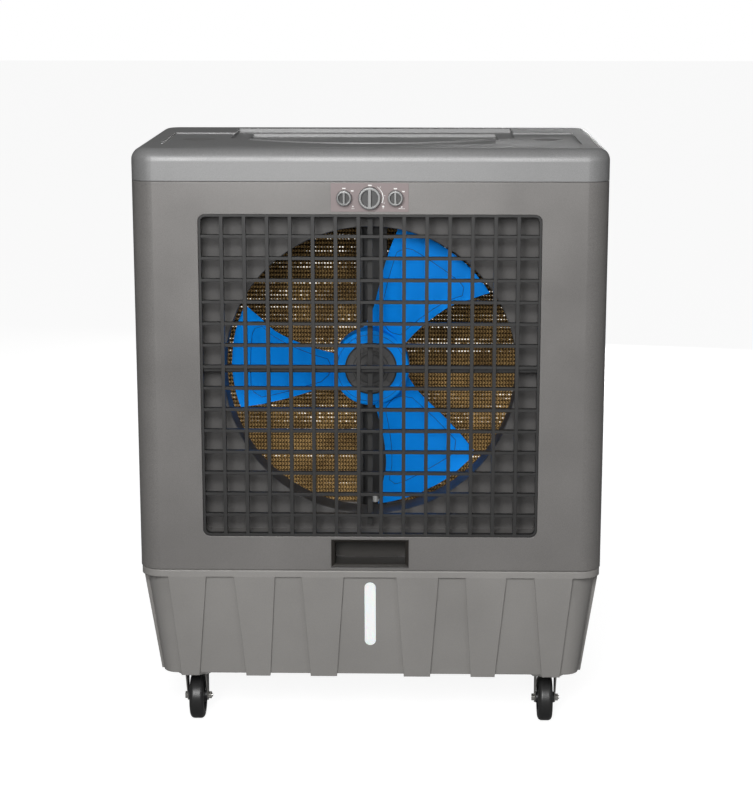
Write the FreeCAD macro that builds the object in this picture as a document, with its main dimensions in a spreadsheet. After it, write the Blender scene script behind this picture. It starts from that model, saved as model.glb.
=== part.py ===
import FreeCAD, Part
import Sketcher
import os
import re
from math import cos, pi, radians, sin

# Portable evaporative cooler: a drafted water tank on four swivel casters, a two-piece
# casing with a square discharge grille, a three-blade fan in a venturi shroud, wetted
# pads behind louvres on three sides, and a pump that lifts water to the pads.
# Millimetres, +Z up, +X to the right seen from the front, front of the casing at -Y,
# floor at z = 0 and the middle of the outer box at x = y = 0.

doc = FreeCAD.newDocument("evaporative_cooler")
sheet = doc.addObject("Spreadsheet::Sheet", "Dims")
V = FreeCAD.Vector

DIMENSIONS = {
    # outer casing
    "width": 965, "front": -271, "back": 289, "middle": 9, "top": 1244, "wall": 4, "corner": 45,
    "crown": 25, "body_base": 367, "body_top": 1179, "split": -111,
    # water tank
    "tank_floor": 127, "tank_rim": 352, "tank_inset": 1.5, "rib": 7, "rib_drop": 4, "draft": 7.85,
    # front opening, grille and shroud
    "mouth_half": 346.5, "mouth_low": 441, "mouth_high": 1113, "mouth_corner": 15,
    "recess": 64, "bar_wide": 7.5, "bar_tall": 6, "cell_count": 15,
    "fan_height": 777, "shroud_bore": 303, "shroud_length": 70,
    # fan and motor
    "fan_radius": 294, "hub_radius": 80, "plate_radius": 54.5, "shaft": 8, "fan_front": -163,
    "motor_radius": 70, "post_half": 32, "post_face": -36,
    # pads, louvres and water circuit
    "pad_low": 385, "pad_high": 1136, "pad_thick": 50, "rear_half": 405, "side_low": -81,
    "side_high": 214, "vent_low": 395, "vent_high": 1150, "louvre": 14,
    "pump_east": 0, "pump_north": 159, "hose_north": 191,
    # controls and filling pocket
    "panel_half": 78, "panel_low": 1118.5, "panel_high": 1176, "knob_height": 1147,
    "knob_gap": 51.5, "knob_small": 15.3, "knob_large": 22.4, "knob_reach": 18, "spindle": 3,
    "pocket_half": 80.5, "pocket_low": 375, "pocket_high": 435.5, "pocket_deep": 60,
    # casters
    "caster_east": 376, "caster_north": 195, "trail": 25, "wheel_radius": 50, "tyre_wide": 31,
    "fork_half": 20, "fork_thick": 2.5, "kingpin": 6, "axle": 4, "run_gap": 0.06, "gap": 0.3,
}
for row, (alias, number) in enumerate(DIMENSIONS.items(), 1):
    sheet.set("A%d" % row, alias)
    sheet.set("B%d" % row, str(number))
    sheet.setAlias("B%d" % row, alias)
doc.recompute()
size = {alias: float(sheet.get(alias)) for alias in DIMENSIONS}
nodes = []


def formula(text):
    """A cell formula from a plain one, such as 'width / 2 - wall'."""
    return re.sub(r"[a-z_]+", lambda word: "Dims." + word[0] if word[0] in size else word[0],
                  str(text))


def measure(text):
    return float(sheet.evalExpression(formula(text)))


def bind(thing, **sizes):
    for name, text in sizes.items():
        thing.setExpression(name, formula(text))


def place(thing, x=None, y=None, z=None):
    for axis, text in (("x", x), ("y", y), ("z", z)):
        if text is not None:
            thing.setExpression("Placement.Base." + axis, formula(text))


def block(name, x, y, z):
    """A box between two values on each axis."""
    box = doc.addObject("Part::Box", name)
    bind(box, Length="(%s) - (%s)" % (x[1], x[0]), Width="(%s) - (%s)" % (y[1], y[0]),
         Height="(%s) - (%s)" % (z[1], z[0]))
    place(box, x[0], y[0], z[0])
    return box


TURNS = {"x": FreeCAD.Rotation(V(0, 1, 0), 90), "y": FreeCAD.Rotation(V(1, 0, 0), -90),
         "z": FreeCAD.Rotation()}


def rod(name, axis, radius, span, centre, sides=0):
    """A cylinder along an axis, or a prism of so many sides, centred on the other two."""
    kind = "Part::Prism" if sides else "Part::Cylinder"
    piece = doc.addObject(kind, name)
    if sides:
        piece.Polygon = sides
        bind(piece, Circumradius=radius)
    else:
        bind(piece, Radius=radius)
    bind(piece, Height="(%s) - (%s)" % (span[1], span[0]))
    piece.Placement = FreeCAD.Placement(V(0, 0, 0), TURNS[axis])
    spot = dict(zip([a for a in "xyz" if a != axis], centre))
    spot[axis] = span[0]
    place(piece, **spot)
    return piece


def join(name, *pieces):
    whole = doc.addObject("Part::MultiFuse", name)
    whole.Shapes = list(pieces)
    whole.Refine = True
    return whole


def cut(name, base, *tools):
    whole = doc.addObject("Part::Cut", name)
    whole.Base = base
    whole.Tool = tools[0] if len(tools) == 1 else join(name + "_tools", *tools)
    whole.Refine = True
    return whole


def common(name, base, tool):
    whole = doc.addObject("Part::Common", name)
    whole.Base, whole.Tool = base, tool
    whole.Refine = True
    return whole


def rounded(name, base, radius, pick):
    """Fillet the edges of a finished object for which pick is true."""
    doc.recompute()
    whole = doc.addObject("Part::Fillet", name)
    whole.Base = base
    whole.Edges = [(i, radius, radius) for i, edge in enumerate(base.Shape.Edges, 1) if pick(edge)]
    return whole


def group(name, *pieces):
    """Separate solids kept together in one node, not fused."""
    whole = doc.addObject("Part::Compound", name)
    whole.Links = list(pieces)
    return whole


def node(label, piece):
    piece.Label = label
    nodes.append(piece)
    return piece


def slab(name, plane, across, upward, radius, along, taper=None, hang=False):
    """A plate with rounded corners: a sketch on an origin plane, padded, in its own body.

    XY: across is x, upward is y, along is z. XZ: across x, upward z, along y.
    A tapered or hanging plate starts at the far end of its span and grows back.
    """
    body = doc.addObject("PartDesign::Body", name)
    sketch = body.newObject("Sketcher::SketchObject", name + "_outline")
    origin = [f for f in body.Origin.OriginFeatures if f.Role == plane + "_Plane"][0]
    sketch.AttachmentSupport = [(origin, "")]
    sketch.MapMode = "FlatFace"
    half = measure("((%s) - (%s)) / 2" % (across[1], across[0]))
    tall = measure("((%s) - (%s)) / 2" % (upward[1], upward[0]))
    turn = measure(radius)
    corners = [(1, -1, -90), (1, 1, 0), (-1, 1, 90), (-1, -1, 180)]
    sides = [((-half + turn, -tall), (half - turn, -tall)), ((half, -tall + turn), (half, tall - turn)),
             ((half - turn, tall), (-half + turn, tall)), ((-half, tall - turn), (-half, -tall + turn))]
    for start, end in sides:
        sketch.addGeometry(Part.LineSegment(V(*start, 0), V(*end, 0)), False)
    for east, north, angle in corners:
        circle = Part.Circle(V(east * (half - turn), north * (tall - turn), 0), V(0, 0, 1), turn)
        sketch.addGeometry(Part.ArcOfCircle(circle, radians(angle), radians(angle + 90)), False)
    rules = Sketcher.Constraint
    for i in range(4):
        sketch.addConstraint(rules("Tangent", i, 2, 4 + i, 1))
        sketch.addConstraint(rules("Tangent", 4 + i, 2, (i + 1) % 4, 1))
    sketch.addConstraint([rules("Horizontal", 0), rules("Vertical", 1), rules("Equal", 4, 5),
                          rules("Equal", 5, 6), rules("Equal", 6, 7),
                          rules("Symmetric", 4, 3, 6, 3, -1, 1)])
    for title, rule in (("across", rules("DistanceX", 3, 1, 1, 1, 2 * half)),
                        ("upward", rules("DistanceY", 0, 1, 2, 1, 2 * tall)),
                        ("radius", rules("Radius", 4, turn))):
        number = sketch.addConstraint(rule)
        sketch.renameConstraint(number, title)
    sketch.setExpression("Constraints.across", formula("(%s) - (%s)" % (across[1], across[0])))
    sketch.setExpression("Constraints.upward", formula("(%s) - (%s)" % (upward[1], upward[0])))
    sketch.setExpression("Constraints.radius", formula(radius))
    pad = body.newObject("PartDesign::Pad", name + "_pad")
    pad.Profile = sketch
    bind(pad, Length="(%s) - (%s)" % (along[1], along[0]))
    if taper is not None:
        bind(pad, TaperAngle=taper)
    pad.Reversed = hang
    middle = ["((%s) + (%s)) / 2" % pair for pair in (across, upward)]
    if plane == "XY":
        place(body, middle[0], middle[1], along[1] if hang else along[0])
    else:
        place(body, middle[0], along[1], middle[1])
    body.Tip = pad
    return body


# ---- Water tank: drafted tub with a rim band and V-shaped ribs, thin walls ----
west, east = "-width / 2 + tank_inset", "width / 2 - tank_inset"
south, north = "front + tank_inset", "back - tank_inset"


def tub(name, inset, low, high, extra="0"):
    """A frustum that narrows downward with the tank's draft; extra rounds its corners more."""
    return slab(name, "XY", (west + " + " + inset, east + " - (" + inset + ")"),
                (south + " + " + inset, north + " - (" + inset + ")"),
                "corner + %s - tank_inset - (%s)" % (extra, inset), (low, high), "-draft", True)


def trapezium(name, upper, lower, sideways):
    """A tall prism through the whole tank, wider or narrower at its top."""
    wedge = doc.addObject("Part::Wedge", name)
    reach = "width"
    bind(wedge, Xmin=lower[0], Xmax=lower[1], X2min=upper[0], X2max=upper[1],
         Ymin="tank_floor - rib_drop", Ymax="tank_rim", Zmin="-" + reach, Zmax=reach,
         Z2min="-" + reach, Z2max=reach)
    turn = FreeCAD.Rotation(V(1, 0, 0), 90)
    if sideways:
        turn = FreeCAD.Rotation(V(0, 0, 1), 90).multiply(turn)
    wedge.Placement = FreeCAD.Placement(V(0, 0, 0), turn)
    if sideways:
        place(wedge, y="middle")
    return wedge


FRONT_RIBS = ((55, 143, 71, 127), (199, 285, 213, 264), (343, 423, 364, 402))
SIDE_RIBS = ((28, 100, 44, 80), (140, 220, 161, 199))
wedges = []
for sideways, ribs in ((False, FRONT_RIBS), (True, SIDE_RIBS)):
    for number, (near, far, low_near, low_far) in enumerate(ribs, 1):
        for hand, sign in (("a", 1), ("b", -1)):
            upper = sorted((sign * near, sign * far))
            lower = sorted((sign * low_near, sign * low_far))
            title = "%s_rib_%d%s" % ("side" if sideways else "front", number, hand)
            wedges.append(trapezium(title, upper, lower, sideways))
skin = tub("tank_skin", "0", "tank_floor - rib_drop", "tank_rim")
core = tub("tank_core", "rib", "tank_floor", "tank_rim", "26")
cavity = tub("tank_cavity", "rib + wall", "tank_floor + 5", "body_base + 1", "26")
rim = slab("tank_band", "XY", (west, east), (south, north), "corner - tank_inset",
           ("tank_rim", "body_base"))
ribs = cut("tank_ribs", common("rib_blanks", skin, join("rib_prisms", *wedges)),
           block("under_clearance", ("-width / 2 + 52", "width / 2 - 52"),
                 ("front + 42", "back - 42"), ("0", "tank_floor")))
rim_keep = slab("rim_keep", "XY", (west + " + 2", east + " - 2"), (south + " + 2", north + " - 2"),
                "corner - tank_inset - 2", ("body_base - 2", "body_base"), "45", True)
rim_edge = cut("rim_edge", block("rim_edge_blank", ("-width", "width"), ("front - 9", "back + 9"),
                                 ("body_base - 2", "body_base + 0.5")), rim_keep)
bolt_pads, bolt_wells = [], []
for east_sign in ("-", ""):
    for north_sign in ("-", ""):
        x, y = east_sign + "caster_east", "middle + (%scaster_north)" % north_sign
        bolt_pads.append(block("bolt_pad_%d" % len(bolt_pads), (x + " - 32", x + " + 32"),
                               (y + " - 39", y + " + 39"), ("tank_floor", "tank_floor + 14")))
        for i in (-26, 26):
            for j in (-33, 33):
                bolt_wells.append(rod("bolt_well_%d" % len(bolt_wells), "z", 3.05,
                                      ("tank_floor - 9", "tank_floor + 10.5"),
                                      ("%s + %d" % (x, i), "%s + %d" % (y, j))))
gauge = slab("gauge_slot", "XZ", (-12, 12), (194, 339), 11.9, ("front - 5", "front + 60"))
drain_boss = rod("drain_boss", "y", 20, ("back - 62", "back - 24"), (310, 158))
drain_hole = rod("drain_hole", "y", 11, ("back - 70", "back - 20"), (310, 158))
inlet_hole = rod("inlet_hole", "y", 13.4, ("back - 40", "back + 5"), (-315, 322))
tank = cut("tank_shape", join("tank_solid", core, ribs, rim), cavity, gauge, inlet_hole)
node("water_tank", cut("tank_drained", join("tank_boss", tank, drain_boss, *bolt_pads), drain_hole,
                       rim_edge, *bolt_wells))

pane = slab("gauge_pane", "XZ", (-11.8, 11.8), (194.2, 338.8), 11.7, ("front - 5", "front + 60"))
node("level_window", cut("gauge_glass", common("gauge_blank", pane, core), cavity))
node("drain_plug", join("plug", rod("plug_stub", "y", 11, ("back - 60", "back - 24"), (310, 158)),
                        rod("plug_cap", "y", 17, ("back - 24", "back - 14"), (310, 158), 8)))

# ---- Casing: a ring in plan, split across the sides into a front and a rear moulding ----
foot_keep = slab("foot_keep", "XY", ("-width / 2 + 2.5", "width / 2 - 2.5"),
                 ("front + 2.5", "back - 2.5"), "corner - 2.5", ("body_base", "body_base + 2.5"), "45")
foot_edge = cut("foot_edge", block("foot_edge_blank", ("-width", "width"), ("front - 9", "back + 9"),
                                   ("body_base - 0.5", "body_base + 2.5")), foot_keep)
seam = cut("lid_seam", block("seam_blank", ("-width", "width"), ("front - 9", "back + 9"),
                             ("body_top - 1.2", "body_top + 1")),
           slab("seam_keep", "XY", ("-width / 2 + 2", "width / 2 - 2"), ("front + 2", "back - 2"),
                "corner - 2", ("body_top - 2", "body_top + 2")))
ring = cut("casing_ring",
           slab("casing_outer", "XY", ("-width / 2", "width / 2"), ("front", "back"), "corner",
                ("body_base", "body_top")),
           slab("casing_inner", "XY", ("-width / 2 + wall", "width / 2 - wall"),
                ("front + wall", "back - wall"), "corner - wall",
                ("body_base - 1", "body_top + 1")), foot_edge, seam)
front_part = common("front_ring", ring, block("front_zone", ("-width", "width"),
                                              ("front - 5", "split"), ("0", "top")))
mouth_tube = slab("mouth_tube", "XZ", ("-mouth_half - 3", "mouth_half + 3"),
                  ("mouth_low - 3", "mouth_high + 3"), "mouth_corner + 3",
                  ("front + 1", "front + recess"))
mouth = slab("mouth", "XZ", ("-mouth_half", "mouth_half"), ("mouth_low", "mouth_high"),
             "mouth_corner", ("front - 5", "front + recess + 5"))
panel_hole = block("panel_hole", ("-panel_half + 4", "panel_half - 4"), ("front - 5", "front + 6"),
                   ("panel_low + 3", "panel_high - 3"))
pocket_hole = block("pocket_hole", ("-pocket_half + 3", "pocket_half - 3"),
                    ("front - 5", "front + 6"), ("pocket_low + 3", "pocket_high - 3"))
node("front_housing", cut("front_shape", join("front_solid", front_part, mouth_tube), mouth,
                          panel_hole, pocket_hole))

rear_part = common("rear_ring", ring, block("rear_zone", ("-width", "width"),
                                            ("split", "back + 5"), ("0", "top")))
shelf = cut("shelf_ring",
            slab("shelf_outer", "XY", ("-width / 2 + 2", "width / 2 - 2"), ("front + 2", "back - 2"),
                 "corner - 2", ("body_base", "pad_low")),
            block("shelf_inner", ("-width / 2 + 78", "width / 2 - 78"), ("front", "back - 80"),
                  ("body_base + 4", "pad_low + 1")),
            block("shelf_well", ("-width / 2 + 81", "width / 2 - 81"), ("front", "back - 83"),
                  ("body_base - 1", "body_base + 6")))
shelf = common("shelf", shelf, block("shelf_zone", ("-width", "width"), ("side_low", "back + 5"),
                                     ("0", "top")))
shelf = cut("hollow_shelf", shelf,
            block("shelf_void_west", ("-width / 2 + 8", "-width / 2 + 74"),
                  ("side_low - 1", "back - 90"), ("body_base - 1", "pad_low - 4")),
            block("shelf_void_east", ("width / 2 - 74", "width / 2 - 8"),
                  ("side_low - 1", "back - 90"), ("body_base - 1", "pad_low - 4")),
            block("shelf_void_rear", ("-width / 2 + 78", "width / 2 - 78"),
                  ("back - 76", "back - 8"), ("body_base - 1", "pad_low - 4")))
cross_rail = block("cross_rail", ("-width / 2 + 2", "width / 2 - 2"), ("post_face - 12", "post_face + 48"),
                   ("body_base", "body_base + 12"))
vents = [block("vent_rear", ("-rear_half", "rear_half"), ("back - 10", "back + 5"),
               ("vent_low", "vent_high"))]
for side, low, high in (("west", "-width / 2 - 5", "-width / 2 + 10"),
                        ("east", "width / 2 - 10", "width / 2 + 5")):
    vents.append(block("vent_" + side, (low, high), ("side_low", "side_high"),
                       ("vent_low", "vent_high")))
gland_hole = rod("gland_hole", "y", 10, ("back - 12", "back + 5"), (423, 440))
node("rear_housing", cut("rear_shape", join("rear_solid", rear_part, shelf, cross_rail), *vents,
                         gland_hole))

# ---- Top cover: a rounded lid with a shallow tray, a D-shaped dish and two round plugs ----
lid = slab("lid_outer", "XY", ("-width / 2", "width / 2"), ("front", "back"), "corner",
           ("body_top", "top"))
lid = rounded("lid_crowned", lid, size["crown"],
              lambda edge: edge.BoundBox.ZMin > size["top"] - 0.01)
lid_low = slab("lid_low", "XY", ("-width / 2 + wall", "width / 2 - wall"),
               ("front + wall", "back - wall"), "corner - wall", ("body_top - 1", "top - 30"))
lid_high = slab("lid_high", "XY", ("-width / 2 + 15", "width / 2 - 15"),
                ("front + 15", "back - 15"), "corner - 15", ("top - 31", "top - 8"))
DISH_RADIUS, DISH_CENTRE = 404, "front + 557"


def dee(name, inset, low, high):
    """The dish outline: a wide rectangle with a bowed front edge."""
    bow = rod(name + "_bow", "z", "%g - (%s)" % (DISH_RADIUS, inset), (low, high),
              ("0", DISH_CENTRE))
    frame = block(name + "_frame", ("-303 + (%s)" % inset, "303 - (%s)" % inset),
                  ("front + 100", "front + 500 - (%s)" % inset), (low, high))
    return common(name, bow, frame)


pan = dee("dish_pan", "-5", "top - 20", "top - 6")
tray = [block("tray_" + side, (low, high), ("front + 113", "front + 390"), ("top - 3", "top + 5"))
        for side, low, high in (("west", "-432", "-260"), ("east", "260", "432"))]
tray_front = cut("tray_front", block("tray_middle", ("-261", "261"), ("front + 113", "front + 390"),
                                     ("top - 3", "top + 5")), dee("dish_lip", "-9", "top - 5", "top + 9"))
holes = [rod("plug_hole_" + side, "z", 34.2, ("top - 12", "top + 5"), (x, "front + 257"))
         for side, x in (("west", "-368"), ("east", "368"))]
groove = block("lid_groove", ("-378", "378"), ("front + 34", "front + 38"), ("top - 2", "top + 5"))
node("top_cover", cut("lid_shape", join("lid_solid", cut("lid_shell", lid, lid_low, lid_high), pan),
                      dee("dish_outer", "0", "top - 9", "top + 5"),
                      dee("dish_inner", "34", "top - 16", "top + 5"), groove, tray_front,
                      *tray, *holes))

plugs = []
for side, x in (("west", "-368"), ("east", "368")):
    hollow = doc.addObject("Part::Sphere", "dimple_" + side)
    bind(hollow, Radius="130")
    place(hollow, x, "front + 257", "top - 3 + 126.5")
    plugs.append(cut("plug_" + side, rod("plug_disc_" + side, "z", 34, ("top - 9", "top - 3"),
                                         (x, "front + 257")), hollow))
node("cover_plugs", group("plug_pair", *plugs))

# ---- Discharge grille with its two braces ----
pitch_east = "(2 * mouth_half - 1) / cell_count"
pitch_up = "(mouth_high - mouth_low - 1) / cell_count"
bars = [cut("grille_frame",
            slab("grille_outer", "XZ", ("-mouth_half + 0.5", "mouth_half - 0.5"),
                 ("mouth_low + 0.5", "mouth_high - 0.5"), "mouth_corner - 0.5",
                 ("front + 2", "front + 16")),
            slab("grille_inner", "XZ", ("-mouth_half + 5.5", "mouth_half - 5.5"),
                 ("mouth_low + 5.5", "mouth_high - 5.5"), "mouth_corner - 5.5",
                 ("front", "front + 20")))]
for number in range(1, int(size["cell_count"])):
    x = "-mouth_half + 0.5 + %d * %s" % (number, pitch_east)
    bars.append(block("bar_upright_%02d" % number, (x + " - bar_wide / 2", x + " + bar_wide / 2"),
                      ("front + 2", "front + 16"), ("mouth_low + 2", "mouth_high - 2")))
    z = "mouth_low + 0.5 + %d * %s" % (number, pitch_up)
    bars.append(block("bar_level_%02d" % number, ("-mouth_half + 2", "mouth_half - 2"),
                      ("front + 3", "front + 15"), (z + " - bar_tall / 2", z + " + bar_tall / 2")))
node("front_grille", join("grille", *bars))
node("grille_brace_vertical", block("brace_upright", (-5.3, 5.3), ("front + 28", "front + 34"),
                                    (460, 1101)))
brace = block("brace_level", ("-mouth_half", "mouth_half"), ("front + 16", "front + 28"), (785.5, 799.5))
node("grille_brace_horizontal", rounded("brace_tube", brace, 3, lambda edge: edge.Length > 600))

# ---- Fan shroud: bulkhead with a venturi ring ----
ring_back = "front + recess + shroud_length"
shroud = join("shroud_solid",
              slab("bulkhead", "XZ", ("-mouth_half - 40", "mouth_half + 40"),
                   ("mouth_low - 40", "mouth_high + 40"), 20, ("front + recess", "front + recess + 3")),
              rod("venturi", "y", "shroud_bore + 3", ("front + recess", ring_back),
                  ("0", "fan_height")),
              rod("venturi_bead", "y", "shroud_bore + 9", (ring_back + " - 5", ring_back),
                  ("0", "fan_height")))
lip = doc.addObject("Part::Cone", "bell_mouth")
bind(lip, Radius1="shroud_bore + 2.5", Radius2="shroud_bore", Height="3")
lip.Placement = FreeCAD.Placement(V(0, 0, 0), TURNS["y"])
place(lip, "0", "front + recess - 1", "fan_height")
flare = doc.addObject("Part::Cone", "bell_flare")
bind(flare, Radius1="shroud_bore + 9", Radius2="shroud_bore + 3", Height="9")
flare.Placement = FreeCAD.Placement(V(0, 0, 0), TURNS["y"])
place(flare, "0", "front + recess", "fan_height")
node("fan_shroud", cut("shroud", join("shroud_flared", shroud, flare),
                       rod("venturi_bore", "y", "shroud_bore",
                           ("front + recess - 5", ring_back + " + 5"), ("0", "fan_height")), lip))

# ---- Fan: three pitched blades on a cupped hub ----
CONCAVE_EDGE = ((76, -19.5), (100, -17.6), (125, -16), (150, -15.8), (186, -16.4), (222, -18),
                (250, -20.4), (288, -22.7), (320, -25))
STRAIGHT_EDGE = ((76, 49), (95, 38), (120, 32), (150, 29.3), (186, 27.6), (222, 26), (250, 24.9),
                 (288, 23.2), (320, 22.2))


def spline(points, lean):
    curve = Part.BSplineCurve()
    curve.interpolate([V(r * cos(radians(a)), lean * (36 - r / 24), r * sin(radians(a)))
                       for r, a in points])
    return curve.toShape()


blade_skin = Part.makeRuledSurface(spline(CONCAVE_EDGE, -1), spline(STRAIGHT_EDGE, 1))
blade = blade_skin.extrude(V(0, 3.2, 0))
if blade.Volume < 0:
    blade.reverse()
limit = Part.makeCylinder(size["fan_radius"], 200, V(0, -100, 0), V(0, 1, 0))
blade = blade.common(limit)
blades = []
for angle in (56, 176, 296):
    piece = blade.copy()
    piece.rotate(V(0, 0, 0), V(0, 1, 0), -angle)
    blades.append(piece)
cup = Part.makeCylinder(size["hub_radius"], 48, V(0, -24, 0), V(0, 1, 0))
cup = cup.makeFillet(4, [e for e in cup.Edges if e.BoundBox.YMax < -23.9])
cup = cup.cut(Part.makeCylinder(size["hub_radius"] - 4, 60, V(0, -19, 0), V(0, 1, 0)))
boss = Part.makeCylinder(20, 40, V(0, -24, 0), V(0, 1, 0))
hub = cup.fuse(boss)
wheel = hub.fuse(blades).removeSplitter()
inside = Part.makeCylinder(size["hub_radius"] - 4, 60, V(0, -19, 0), V(0, 1, 0))
inside = inside.cut(Part.makeCylinder(20, 100, V(0, -50, 0), V(0, 1, 0)))
wheel = wheel.cut(inside).cut(Part.makeCylinder(size["shaft"], 200, V(0, -100, 0), V(0, 1, 0)))
rotor = doc.addObject("Part::Feature", "rotor")
rotor.Shape = wheel.Solids[0]
rotor.Placement = FreeCAD.Placement(V(0, size["fan_front"] + 24, size["fan_height"]),
                                    FreeCAD.Rotation())
node("fan_rotor", rotor)

axis_at = ("0", "fan_height")
cap = join("cap_solid",
           rod("cap_disc", "y", "plate_radius", ("fan_front - 5", "fan_front"), axis_at),
           rod("cap_boss", "y", 36, ("fan_front - 11", "fan_front - 4"), axis_at))
grooves = [cut("cap_groove", rod("groove_outer", "y", 32.5, ("fan_front - 15", "fan_front - 9.2"), axis_at),
               rod("groove_inner", "y", 29.5, ("fan_front - 16", "fan_front - 8"), axis_at)),
           rod("nut_pocket", "y", 17, ("fan_front - 9", "fan_front + 1"), axis_at)]
for number in range(10):
    slot = block("cap_slot_%d" % number, (-0.9, 0.9), (-8, -3.8), (39, 56))
    stand = doc.addObject("Part::Compound", "cap_slot_stand_%d" % number)
    stand.Links = [slot]
    stand.Placement = FreeCAD.Placement(V(0, 0, 0), FreeCAD.Rotation(V(0, 1, 0), 36 * number + 18))
    place(stand, "0", "fan_front", "fan_height")
    grooves.append(stand)
node("fan_hub_plate", cut("hub_cap", cap, *grooves))
node("fan_nut", cut("nut", rod("nut_hex", "y", 14, ("fan_front - 8", "fan_front"), axis_at, 6),
                    rod("nut_bore", "y", "shaft", ("fan_front - 20", "fan_front + 5"), axis_at)))
node("motor_shaft", rod("shaft_rod", "y", "shaft", ("fan_front - 8.5", "post_face - 12"), axis_at))

# ---- Motor: ribbed barrel between two bells, strapped to an upright post ----
bell_front, bell_back = "fan_front + 51", "post_face - 3"
bells = [join("bell_front", rod("bell_cap", "y", 66, (bell_front + " + 6", bell_front + " + 18"), axis_at),
              rod("bell_boss", "y", 24, (bell_front, bell_front + " + 7"), axis_at)),
         rod("bell_rear", "y", 66, (bell_back + " - 14", bell_back), axis_at)]
bells = [cut("bell_front_bored", bells[0],
             rod("bearing_front", "y", "shaft + run_gap", (bell_front + " - 5", bell_front + " + 30"), axis_at)),
         cut("bell_rear_bored", bells[1],
             rod("bearing_rear", "y", "shaft + run_gap", (bell_back + " - 20", bell_back + " - 5"), axis_at))]
node("motor_end_bells", group("bell_pair", *bells))
barrel = [rod("barrel", "y", "motor_radius - 4", (bell_front + " + 18", bell_back + " - 14"), axis_at)]
for number in range(24):
    fin = block("fin_%02d" % number, (-1.5, 1.5), ("0", "%s - 14 - (%s + 18)" % (bell_back, bell_front)),
                ("motor_radius - 8", "motor_radius"))
    stand = doc.addObject("Part::Compound", "fin_stand_%02d" % number)
    stand.Links = [fin]
    stand.Placement = FreeCAD.Placement(V(0, 0, 0), FreeCAD.Rotation(V(0, 1, 0), 15 * number))
    place(stand, y=bell_front + " + 18", z="fan_height")
    barrel.append(stand)
node("motor_housing", cut("barrel_shape", join("barrel_finned", *barrel),
                          rod("barrel_bore", "y", "motor_radius - 10",
                              (bell_front, bell_back), axis_at)))
band = cut("band", rod("band_outer", "y", "motor_radius + 2.5", ("post_face - 40", "post_face - 24"), axis_at),
           rod("band_inner", "y", "motor_radius", ("post_face - 50", "post_face"), axis_at))
straps = [block("strap_" + side, (low, high), ("post_face - 40", "post_face"),
                ("fan_height - 15", "fan_height + 15"))
          for side, low, high in (("west", "-motor_radius - 4", "-motor_radius - 1"),
                                  ("east", "motor_radius + 1", "motor_radius + 4"))]
seat = [block("seat_level", ("-motor_radius - 4", "motor_radius + 4"), ("post_face - 3", "post_face"),
              ("fan_height - 15", "fan_height + 15")),
        block("seat_upright", ("-post_half", "post_half"), ("post_face - 3", "post_face"),
              ("fan_height - 75", "fan_height + 75"))]
node("motor_bracket", join("bracket", band, *straps, *seat))
post = cut("post_channel",
           block("post_outer", ("-post_half", "post_half"), ("post_face", "post_face + 30"),
                 ("body_base + 12", "body_top")),
           block("post_inner", ("-post_half + 2.5", "post_half - 2.5"), ("post_face - 1", "post_face + 27.5"),
                 ("body_base", "body_top + 1")))
lips = [block("post_lip_" + side, (low, high), ("post_face", "post_face + 2.5"),
              ("body_base + 12", "body_top"))
        for side, low, high in (("west", "-post_half", "-post_half + 12"),
                                ("east", "post_half - 12", "post_half"))]
node("motor_mount_post", join("post", post, *lips))
node("cable_clip", join("clip", block("clip_foot", (-3, 17), ("post_face + 20", "post_face + 27.5"), (448, 452)),
                        rod("clip_barrel", "z", 5.5, (448, 466), (7, "post_face + 20")),
                        block("clip_back", (1, 13), ("post_face + 20", "post_face + 27.5"), (448, 460))))

# ---- Pads, their louvre frames and the trough that wets them ----
node("pad_rear", block("rear_pad", (-398, 398), ("back - 68", "back - 18"), ("pad_low", "pad_high")))
node("pad_left", block("left_pad", ("-width / 2 + 18", "-width / 2 + 68"),
                       ("side_low + 4", "side_high - 5"), ("pad_low", "pad_high")))
node("pad_right", block("right_pad", ("width / 2 - 68", "width / 2 - 18"),
                        ("side_low + 4", "side_high - 5"), ("pad_low", "pad_high")))


def louvre(label, breadth, uprights, turn, x, y):
    """A slatted frame, made facing +Y about its own middle, then turned into place."""
    half = "(%s) / 2 - 0.5" % breadth
    low, high = "vent_low + 0.5", "vent_high - 0.5"
    parts = [cut(label + "_frame",
                 block(label + "_outer", ("-(%s)" % half, half), ("-louvre", "0"), (low, high)),
                 block(label + "_inner", ("-(%s) + 22" % half, "(%s) - 22" % half), ("-louvre - 1", "1"),
                       (low + " + 22", high + " - 22")))]
    count = 25
    for number in range(count):
        slat = doc.addObject("Part::Box", "%s_slat_%02d" % (label, number))
        bind(slat, Length="2 * (%s) - 40" % half, Width="15", Height="2.4")
        slat.Placement = FreeCAD.Placement(V(0, 0, 0), FreeCAD.Rotation(V(1, 0, 0), -38))
        place(slat, "-(%s) + 20" % half, "-louvre + 0.3",
              "%s + 30 + %d * ((%s) - (%s) - 52) / %d" % (low, number, high, low, count))
        parts.append(slat)
    for number in range(uprights):
        x_at = "(%d) * (%s) / %d" % (2 * number - uprights + 1, breadth, uprights + 1)
        x_at = "%s / 2" % x_at
        parts.append(block("%s_upright_%d" % (label, number), (x_at + " - 4", x_at + " + 4"),
                           ("-louvre + 2", "-louvre + 12"), (low + " + 20", high + " - 20")))
    frame = node(label, join(label + "_whole", *parts))
    frame.Placement = FreeCAD.Placement(V(0, 0, 0), FreeCAD.Rotation(V(0, 0, 1), turn))
    place(frame, x, y)


louvre("louver_rear", "2 * rear_half", 3, 0, "0", "back")
louvre("louver_left", "side_high - side_low", 1, 90, "-width / 2", "(side_high + side_low) / 2")
louvre("louver_right", "side_high - side_low", 1, -90, "width / 2", "(side_high + side_low) / 2")

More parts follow.
